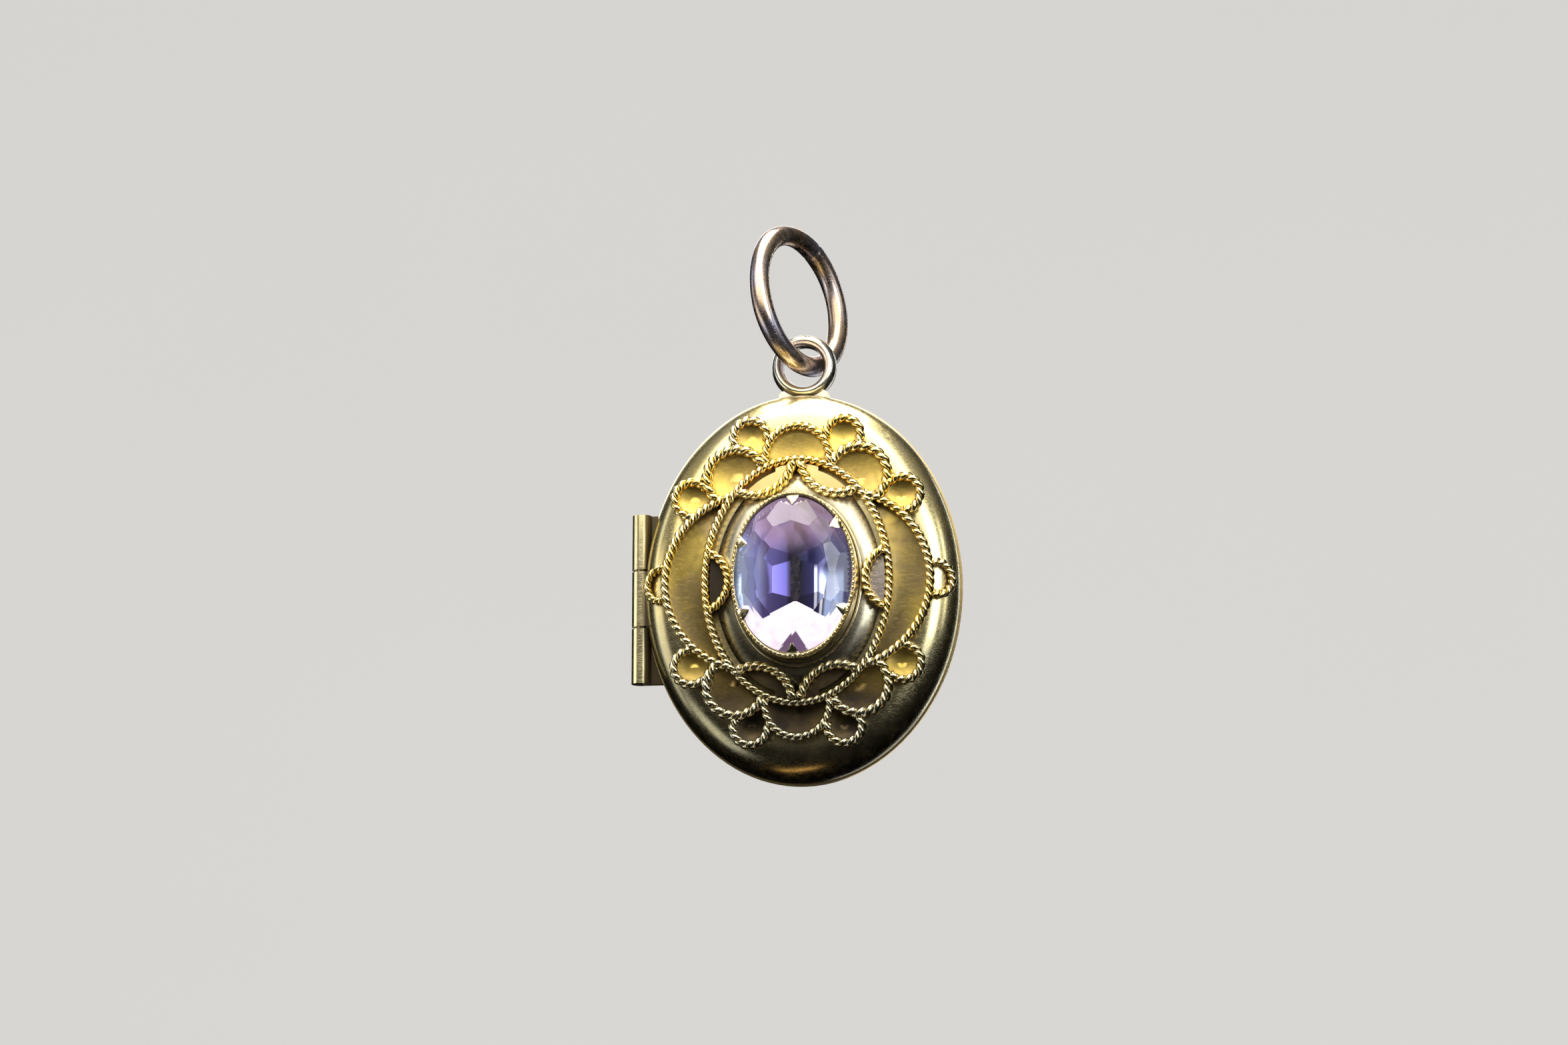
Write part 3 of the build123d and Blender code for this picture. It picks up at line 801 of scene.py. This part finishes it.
CROWN_TURNS = tuple(range(0, 360, 30))
STAR_TURNS = tuple(range(15, 360, 30))
PAVILION_TURNS = (0, 38, 70, 110, 142, 180, 227, 256, 284, 313)
STEP_SHARE = 0.74
KEEL_SHARE = 0.42
KEEL_SLOPE = 17
KEEL_HALF_WIDTH = 0.24
STONE_AROUND = 112
# Lower facets below this height take the glowing foil, whose glow is painted light.
BRIGHT_BELOW = -1.25


def claw(angle):
    """One pointed claw bent over the stone's crown."""
    turn = math.radians(angle)
    foot = np.array([STONE_X * math.cos(turn), STONE_Y * math.sin(turn)])
    out = np.array([math.cos(turn) / STONE_X, math.sin(turn) / STONE_Y])
    out /= np.linalg.norm(out)
    side = np.array([-out[1], out[0]])
    rows, columns = 9, 7
    top, bottom = [], []
    for i in range(rows):
        share = i / (rows - 1)
        inward = CLAW_FOOT - (CLAW_FOOT + CLAW_REACH) * share
        width = CLAW_WIDTH / 2 * (1 - share) ** 0.85 + CLAW_TIP
        lift = LIP_TOP + 0.03 + CLAW_SLOPE * max(0.0, -inward) - 0.05 * share
        for j in range(columns):
            across = -1 + 2 * j / (columns - 1)
            xy = foot + out * inward + side * across * width
            crown = CLAW_CROWN * (1 - across**2) * (1 - 0.5 * share)
            top.append((*xy, lift + crown))
            bottom.append((*xy, lift - CLAW_THICK))
    points = np.array(top + bottom)
    under = rows * columns
    faces = []
    for i in range(rows - 1):
        for j in range(columns - 1):
            a, b = i * columns + j, i * columns + j + 1
            c, d = b + columns, a + columns
            faces += [(a, b, c, d), (under + d, under + c, under + b, under + a)]
    for i in range(rows - 1):
        for j in (0, columns - 1):
            a, b = i * columns + j, (i + 1) * columns + j
            faces.append((a, b, under + b, under + a))
    for i in (0, rows - 1):
        for j in range(columns - 1):
            a, b = i * columns + j, i * columns + j + 1
            faces.append((a, b, under + b, under + a))
    return points, faces


def bead(centre, radius):
    """A small round grain, as a ball of rings."""
    sides, rows = 8, 5
    points = [centre + np.array([0, 0, radius])]
    for i in range(1, rows):
        tilt = math.pi * i / rows
        for j in range(sides):
            turn = 2 * math.pi * j / sides
            across = math.sin(tilt)
            direction = np.array([across * math.cos(turn), across * math.sin(turn), math.cos(tilt)])
            points.append(centre + radius * direction)
    points.append(centre - np.array([0, 0, radius]))
    last = len(points) - 1
    faces = []
    for j in range(sides):
        k = (j + 1) % sides
        faces.append((0, 1 + j, 1 + k))
        faces.append((last, last - sides + k, last - sides + j))
        for i in range(rows - 2):
            here, there = 1 + i * sides, 1 + (i + 1) * sides
            faces.append((here + j, there + j, there + k, here + k))
    return np.array(points), faces


def build_bezel():
    """The collet with its claws, the row of grains along its lip and the wire round its foot."""
    low = BEZEL_LOW[2]
    wall_x, wall_y = BEZEL_HIGH[0], BEZEL_HIGH[1]
    profile = [
        (0.0, low), (0.02, low + 0.1), (0.0, low + 0.2), (-0.015, LIP_TOP - 0.35),
        (-0.03, LIP_TOP - 0.08), (-0.06, LIP_TOP - 0.02), (-0.12, LIP_TOP), (-0.20, LIP_TOP - 0.03),
        (-0.205, GIRDLE_HIGH + 0.04), (-0.21, GIRDLE_LOW), (-SEAT_WIDTH - 0.2, GIRDLE_LOW - 0.28),
        (-SEAT_WIDTH - 0.2, low),
    ]
    collet = oval_sweep(wall_x, wall_y, profile, 192)
    beads = []
    line, _, _ = oval_line(wall_x - 0.11, wall_y - 0.11, LIP_TOP, BEAD_PITCH)
    for index, centre in enumerate(line[:-1]):
        beads.append(bead(centre, BEAD_RADIUS * (1 + BEAD_VARIATION * math.sin(index * 2.399))))
    claws = [claw(angle) for angle in CLAW_ANGLES]
    body = body_of("bezel")
    piece = make_piece("bezel_collet", *gather([collet] + claws), BEZEL_GOLD, body, "bezel")
    smooth_by_angle(piece, 40)
    make_piece("bezel_milgrain", *gather(beads), ROPE_GOLD, body)
    low, high = face_box("bezel_base_wire")
    wire = (high[2] - low[2]) / 2
    line, out, up = oval_line(high[0] - wire, high[1] - wire, (high[2] + low[2]) / 2, 0.12)
    foot = tube(line, out, up, wire, True, 10)
    make_piece("bezel_foot_wire", *foot, BEZEL_GOLD, body, "bezel_base_wire")


def facet_plane(turn, share, height, slope, way):
    """A plane that touches the oval of that share of the stone, leaning in by slope degrees."""
    x_radius, y_radius = STONE_X * share, STONE_Y * share
    touch = (x_radius * math.cos(turn), y_radius * math.sin(turn), height)
    flat = Vector((math.cos(turn) / x_radius, math.sin(turn) / y_radius, 0)).normalized()
    lean = math.radians(slope)
    return touch, flat * math.sin(lean) + Vector((0, 0, way * math.cos(lean)))


def facet_row(turns, share, height, side_slope, end_slope, way):
    """A ring of facets, whose slope goes from side_slope at the sides to end_slope at the ends."""
    planes = []
    for degrees in turns:
        turn = math.radians(degrees)
        slope = side_slope + (end_slope - side_slope) * math.sin(turn) ** 2
        planes.append(facet_plane(turn, share, height, slope, way))
    return planes


def stone_planes():
    """Every facet as (point, outward normal), from the table down to the keel."""
    top, bottom = STONE_HIGH[2], STONE_LOW[2]
    depth = GIRDLE_LOW - bottom
    keel_rise = (STONE_X * KEEL_SHARE - KEEL_HALF_WIDTH) * math.tan(math.radians(KEEL_SLOPE))
    planes = [((0, 0, top), Vector((0, 0, 1))), ((0, 0, bottom), Vector((0, 0, -1)))]
    planes += facet_row(CROWN_TURNS, 1.0, GIRDLE_HIGH, 40, 40, 1)
    planes += facet_row(STAR_TURNS, STEP_SHARE, GIRDLE_HIGH + 0.62, 25, 25, 1)
    planes += facet_row(PAVILION_TURNS, 1.0, GIRDLE_LOW, 46, 46, -1)
    planes += facet_row(PAVILION_TURNS, STEP_SHARE, GIRDLE_LOW - depth * 0.46, 30, 38, -1)
    planes += facet_row(PAVILION_TURNS, KEEL_SHARE, bottom + keel_rise, KEEL_SLOPE, 34, -1)
    return planes


def stone_blank():
    """An upright oval prism of the stone's height."""
    around = STONE_AROUND
    turns = np.linspace(0, 2 * math.pi, around, endpoint=False)
    blank = bmesh.new()
    rings = []
    for height in (STONE_LOW[2], STONE_HIGH[2]):
        corners = zip(STONE_X * np.cos(turns), STONE_Y * np.sin(turns))
        rings.append([blank.verts.new((x, y, height)) for x, y in corners])
        blank.faces.new(rings[-1])
    for j in range(around):
        k = (j + 1) % around
        blank.faces.new((rings[0][j], rings[0][k], rings[1][k], rings[1][j]))
    return blank


def build_stone():
    """An oval stone cut facet by facet: brilliant crown, stepped pavilion and a narrow keel."""
    stone = stone_blank()
    for point, normal in stone_planes():
        everything = stone.verts[:] + stone.edges[:] + stone.faces[:]
        cut = bmesh.ops.bisect_plane(
            stone, geom=everything, dist=1e-5, plane_co=point, plane_no=normal, clear_outer=True)
        rim = [part for part in cut["geom_cut"] if isinstance(part, bmesh.types.BMEdge)]
        if rim:
            bmesh.ops.contextual_create(stone, geom=rim)
    stone.verts.index_update()
    points = np.array([vert.co[:] for vert in stone.verts])
    faces = [tuple(vert.index for vert in face.verts) for face in stone.faces]
    stone.free()
    body = body_of("oval_stone")
    piece = make_piece("violet_stone", points, faces, CROWN, body, "oval_stone", smooth=False)
    for material in (PAVILION_PAINTED, PAVILION_LOW_GLOWING, KEEL_PAINTED_DARK):
        piece.data.materials.append(material)
    for face in piece.data.polygons:
        middle = to_face(face.center)
        if middle[2] < STONE_LOW[2] + 0.01:
            face.material_index = 3
        elif middle[2] < GIRDLE_LOW:
            face.material_index = 2 if middle[1] < BRIGHT_BELOW else 1


# ---------------------------------------------------------------- cards and panes


PLATE_AROUND = 120
PLATE_THINNING = 0.9


def build_plates():
    """The photograph cards and the panes over them: flat oval plates, a hair apart."""
    around = PLATE_AROUND
    turns = 2 * math.pi * np.arange(around) / around
    for name, node, material in (
        ("front_pane", "front_glazing", GLAZING), ("back_pane", "back_glazing", GLAZING),
        ("front_card", "front_photo_card", CARD), ("back_card", "back_photo_card", CARD),
    ):
        low, high = face_box(node)
        centre, half = (low + high) / 2, (high - low) / 2 * (1, 1, PLATE_THINNING)
        edge = centre + half * np.stack([np.cos(turns), np.sin(turns), 0 * turns], 1)
        points = np.concatenate([edge + half * (0, 0, 1), edge - half * (0, 0, 1)])
        faces = [tuple(range(around)), tuple(range(2 * around - 1, around - 1, -1))]
        faces += band(0, around, around)
        make_piece(name, points, faces, material, body_of(node), node, smooth=False)


# ---------------------------------------------------------------- bail and jump ring


def build_bail():
    """The bail's ring, of oval bar."""
    low, high = face_box("bail_ring")
    centre = (low + high) / 2
    offset = islands("bail_ring")[0] - centre
    reach = np.hypot(offset[:, 0], offset[:, 1])
    thick = reach.max() - reach.min()
    turns = np.linspace(0, 2 * math.pi, 145)
    out = np.stack([np.cos(turns), np.sin(turns), 0 * turns], 1)
    across = np.tile([0, 0, (high[2] - low[2]) / thick], (len(turns), 1))
    line = centre + (reach.max() - thick / 2) * out
    loop = tube(line, out, across, thick / 2, True, 32)
    make_piece("bail_loop", *loop, BAIL_GOLD, body_of("bail_ring"), "bail_ring")


JOINT_PAST_TOP = 0.5  # radians
JOINT_DEPTH = 0.05
JOINT_WIDTH = 0.05
RING_WAVE = 0.01


def build_jump_ring():
    """A round wire ring with its soldered joint as a fine groove."""
    arc = Arc(islands("jump_ring")[0])
    turns = np.linspace(0, 2 * math.pi, 193)
    out = np.outer(np.cos(turns), arc.across) + np.outer(np.sin(turns), arc.up)
    points = arc.centre + arc.radius * out
    radii = np.full(len(turns), arc.wire)
    joint = turns[int(points[:, 1].argmax())] - JOINT_PAST_TOP
    away = np.abs((turns - joint + math.pi) % (2 * math.pi) - math.pi) * arc.radius
    radii -= JOINT_DEPTH * np.exp(-((away / JOINT_WIDTH) ** 2))
    radii += RING_WAVE * np.sin(turns * 5 + 0.6)
    face_dir = np.tile(arc.normal, (len(turns), 1))
    ring = tube(points, out, face_dir, radii, True, 28)
    make_piece("neck_jump_ring", *ring, RING_ROSE, body_of("jump_ring"), "jump_ring")


# ---------------------------------------------------------------- CAD nodes that keep their shape

KEPT = {
    "front_rim": RIM_GOLD, "back_rim": RIM_GOLD, "front_frame_ring": RIM_GOLD,
    "back_frame_ring": RIM_GOLD, "oval_strip": GROOVE_SHADE_GOLD, "crescent_trays": CRESCENT_GOLD,
    "centre_scallop_trays": TRAY_GOLD, "side_scallop_trays": TRAY_GOLD,
    "small_loop_trays": TRAY_GOLD, "edge_loop_trays": TRAY_GOLD, "leaf_trays": LEAF_GOLD,
    "side_petal_trays": PETAL_GOLD, "front_hinge_knuckle": HINGE_GOLD,
    "back_hinge_knuckles": HINGE_GOLD, "hinge_pin": HINGE_GOLD, "bail_foot": BAIL_GOLD,
}


def dress_kept_nodes():
    """Gives the kept CAD nodes their materials."""
    for node, material in KEPT.items():
        piece = frame["nodes"][node]
        piece.data.materials.clear()
        piece.data.materials.append(material)


# ---------------------------------------------------------------- light, floor and camera


def soft_box(name, width, height, place_mm, radiance, tint=(1.0, 1.0, 1.0), aim_mm=(0, 0, 0)):
    """A rectangular lamp of the given brightness, which the camera doesn't see."""
    data = bpy.data.lights.new(name, "AREA")
    data.shape = "RECTANGLE"
    data.size = width * MM
    data.size_y = height * MM
    data.energy = radiance * math.pi * data.size * data.size_y
    data.color = tint
    lamp = bpy.data.objects.new(name, data)
    lamp.location = Vector(place_mm) * MM
    lamp.rotation_euler = (Vector(place_mm) - Vector(aim_mm)).to_track_quat("Z", "Y").to_euler()
    lamp.visible_camera = False
    bpy.context.scene.collection.objects.link(lamp)


FLOOR_Z, FLOOR_BEND, WALL_Y, SWEEP_REACH = -75.0, 150.0, 450.0, 900.0
BEND_STEPS = 12


def build_stage():
    """A pale sweep: a floor well below the hanging locket, curving up into a far wall.

    It glows evenly, so that the lamps make no pools on it.
    """
    n = Nodes("pale_sweep")
    pale = n.mix(n.noise(0.01), colour(0.70, 0.69, 0.67), colour(0.68, 0.67, 0.65))
    dull = n.mix(0.85, pale, colour(0.0, 0.0, 0.0))
    material = n.surface(Base_Color=dull, Roughness=0.9, Emission_Color=pale, Emission_Strength=0.9)
    bend_y = WALL_Y - FLOOR_BEND
    section = [(-SWEEP_REACH, FLOOR_Z), (bend_y, FLOOR_Z)]
    for step in range(1, BEND_STEPS + 1):
        turn = math.pi / 2 * step / BEND_STEPS
        rise = FLOOR_BEND * (1 - math.cos(turn))
        section.append((bend_y + FLOOR_BEND * math.sin(turn), FLOOR_Z + rise))
    section.append((WALL_Y, SWEEP_REACH))
    points = []
    for y, z in section:
        for x in (-SWEEP_REACH, SWEEP_REACH):
            points.append((x * MM, y * MM, z * MM))
    faces = [(2 * i, 2 * i + 1, 2 * i + 3, 2 * i + 2) for i in range(len(section) - 1)]
    mesh = bpy.data.meshes.new("sweep_floor")
    mesh.from_pydata(points, [], faces)
    mesh.shade_smooth()
    mesh.materials.append(material)
    floor = bpy.data.objects.new("sweep_floor", mesh)
    floor.visible_glossy = False
    bpy.context.scene.collection.objects.link(floor)


def build_world():
    """A dim room that the metal reflects, lighter above and in front; the camera sees it pale."""
    world = bpy.data.worlds.new("studio")
    bpy.context.scene.world = world
    world.use_nodes = True
    nodes, links = world.node_tree.nodes, world.node_tree.links
    direction = nodes.new("ShaderNodeTexCoord")
    split = nodes.new("ShaderNodeSeparateXYZ")
    links.new(direction.outputs["Generated"], split.inputs[0])
    lift = nodes.new("ShaderNodeMapRange")
    lift.inputs["From Min"].default_value = -1.0
    links.new(split.outputs["Z"], lift.inputs["Value"])
    room = nodes.new("ShaderNodeValToRGB")
    shade_ramp(room, (
        (0.0, (0.012, 0.011, 0.010)), (0.45, (0.030, 0.029, 0.026)), (0.57, (0.12, 0.115, 0.10)),
        (0.72, (0.22, 0.22, 0.21)), (1.0, (0.80, 0.78, 0.72))))
    links.new(lift.outputs[0], room.inputs[0])
    behind = nodes.new("ShaderNodeMapRange")
    behind.inputs["From Min"].default_value = -0.9
    behind.inputs["From Max"].default_value = 0.4
    behind.inputs["To Min"].default_value = 1.0
    behind.inputs["To Max"].default_value = 0.12
    links.new(split.outputs["Y"], behind.inputs["Value"])
    dimmed = nodes.new("ShaderNodeVectorMath")
    dimmed.operation = "SCALE"
    links.new(room.outputs["Color"], dimmed.inputs[0])
    links.new(behind.outputs[0], dimmed.inputs["Scale"])
    path = nodes.new("ShaderNodeLightPath")
    choose = nodes.new("ShaderNodeMix")
    choose.data_type = "RGBA"
    links.new(path.outputs["Is Camera Ray"], choose.inputs["Factor"])
    links.new(dimmed.outputs[0], choose.inputs["A"])
    choose.inputs["B"].default_value = colour(0.66, 0.65, 0.63)
    links.new(choose.outputs["Result"], nodes["Background"].inputs["Color"])


def build_light():
    """Large soft lamps above, in front and to the right, and small ones for single reflections."""
    warm, cool, orange = (1.0, 0.97, 0.88), (0.90, 0.96, 1.0), (1.0, 0.62, 0.25)
    soft_box("top_box", 140, 130, (0, 0, 200), 10.0, warm)
    soft_box("brow_box", 180, 70, (0, -110, 180), 4.0, warm)
    soft_box("near_panel", 56, 30, (0, -30, 25), 2.0, warm, (0, 0, 8))
    soft_box("left_strip", 45, 240, (-220, -20, 20), 1.3, cool)
    soft_box("hinge_card", 12, 20, (-31, -13, 0), 1.3, warm, (-8, -2, 0))
    soft_box("right_strip", 98, 122, (150, -165, 40), 5.0, cool)
    soft_box("right_side", 40, 120, (220, -60, 52), 2.6, cool)
    soft_box("right_rim", 14, 190, (110, 210, 30), 5.0, cool)
    soft_box("low_glow", 26, 9, (-9, -15, -66), 1.6, orange)
    soft_box("low_left", 50, 60, (-95, -55, -70), 1.3, cool)
    soft_box("back_box", 220, 150, (-60, 230, 130), 1.8)
    soft_box("back_fill", 120, 120, (60, 260, -60), 0.9)


AZIMUTH, ELEVATION = math.radians(8), math.radians(-12)
LENS, SENSOR = 100.0, 36.0
ASPECT = 2352 / 1568
FRAME_HEIGHT = 53.5
AIM_LEFT, AIM_UP = 0.0184, 0.0638  # shares of the frame's height


def build_camera():
    """Right of the face's normal and below it, with a long lens."""
    height_seen = FRAME_HEIGHT * MM
    distance = height_seen * LENS / (SENSOR / ASPECT)
    level = math.cos(ELEVATION)
    back = Vector((math.sin(AZIMUTH) * level, -math.cos(AZIMUTH) * level, math.sin(ELEVATION)))
    data = bpy.data.cameras.new("camera")
    data.lens = LENS
    data.sensor_width = SENSOR
    data.clip_start = distance * 0.05
    data.clip_end = distance * 40
    camera = bpy.data.objects.new("camera", data)
    camera.rotation_mode = "QUATERNION"
    camera.rotation_quaternion = (-back).to_track_quat("-Z", "Y")
    right = camera.rotation_quaternion @ Vector((1, 0, 0))
    up = camera.rotation_quaternion @ Vector((0, 1, 0))
    middle = Vector((0, PARTING * MM, 0))
    target = middle - right * height_seen * AIM_LEFT + up * height_seen * AIM_UP
    camera.location = target + back * distance
    bpy.context.scene.collection.objects.link(camera)
    bpy.context.scene.camera = camera


# ---------------------------------------------------------------- the whole

ROPES = (
    "crescent_rope_wires", "centre_scallop_rope_wires", "side_scallop_rope_wires",
    "small_loop_rope_wires", "edge_loop_rope_wires", "leaf_rope_wires", "side_petal_rope_wires",
)

build_case()
build_boss()
build_bezel()
build_stone()
oval_rope("oval_twisted_wire", "oval_rope_wire", ROPE_GOLD)
for rope_node in ROPES:
    rope_from_arcs(rope_node.replace("rope_wires", "twisted_wires"), rope_node, ROPE_GOLD)
build_plates()
build_bail()
build_jump_ring()
dress_kept_nodes()
build_stage()
build_world()
build_light()
build_camera()
bpy.context.scene.view_settings.view_transform = "Standard"
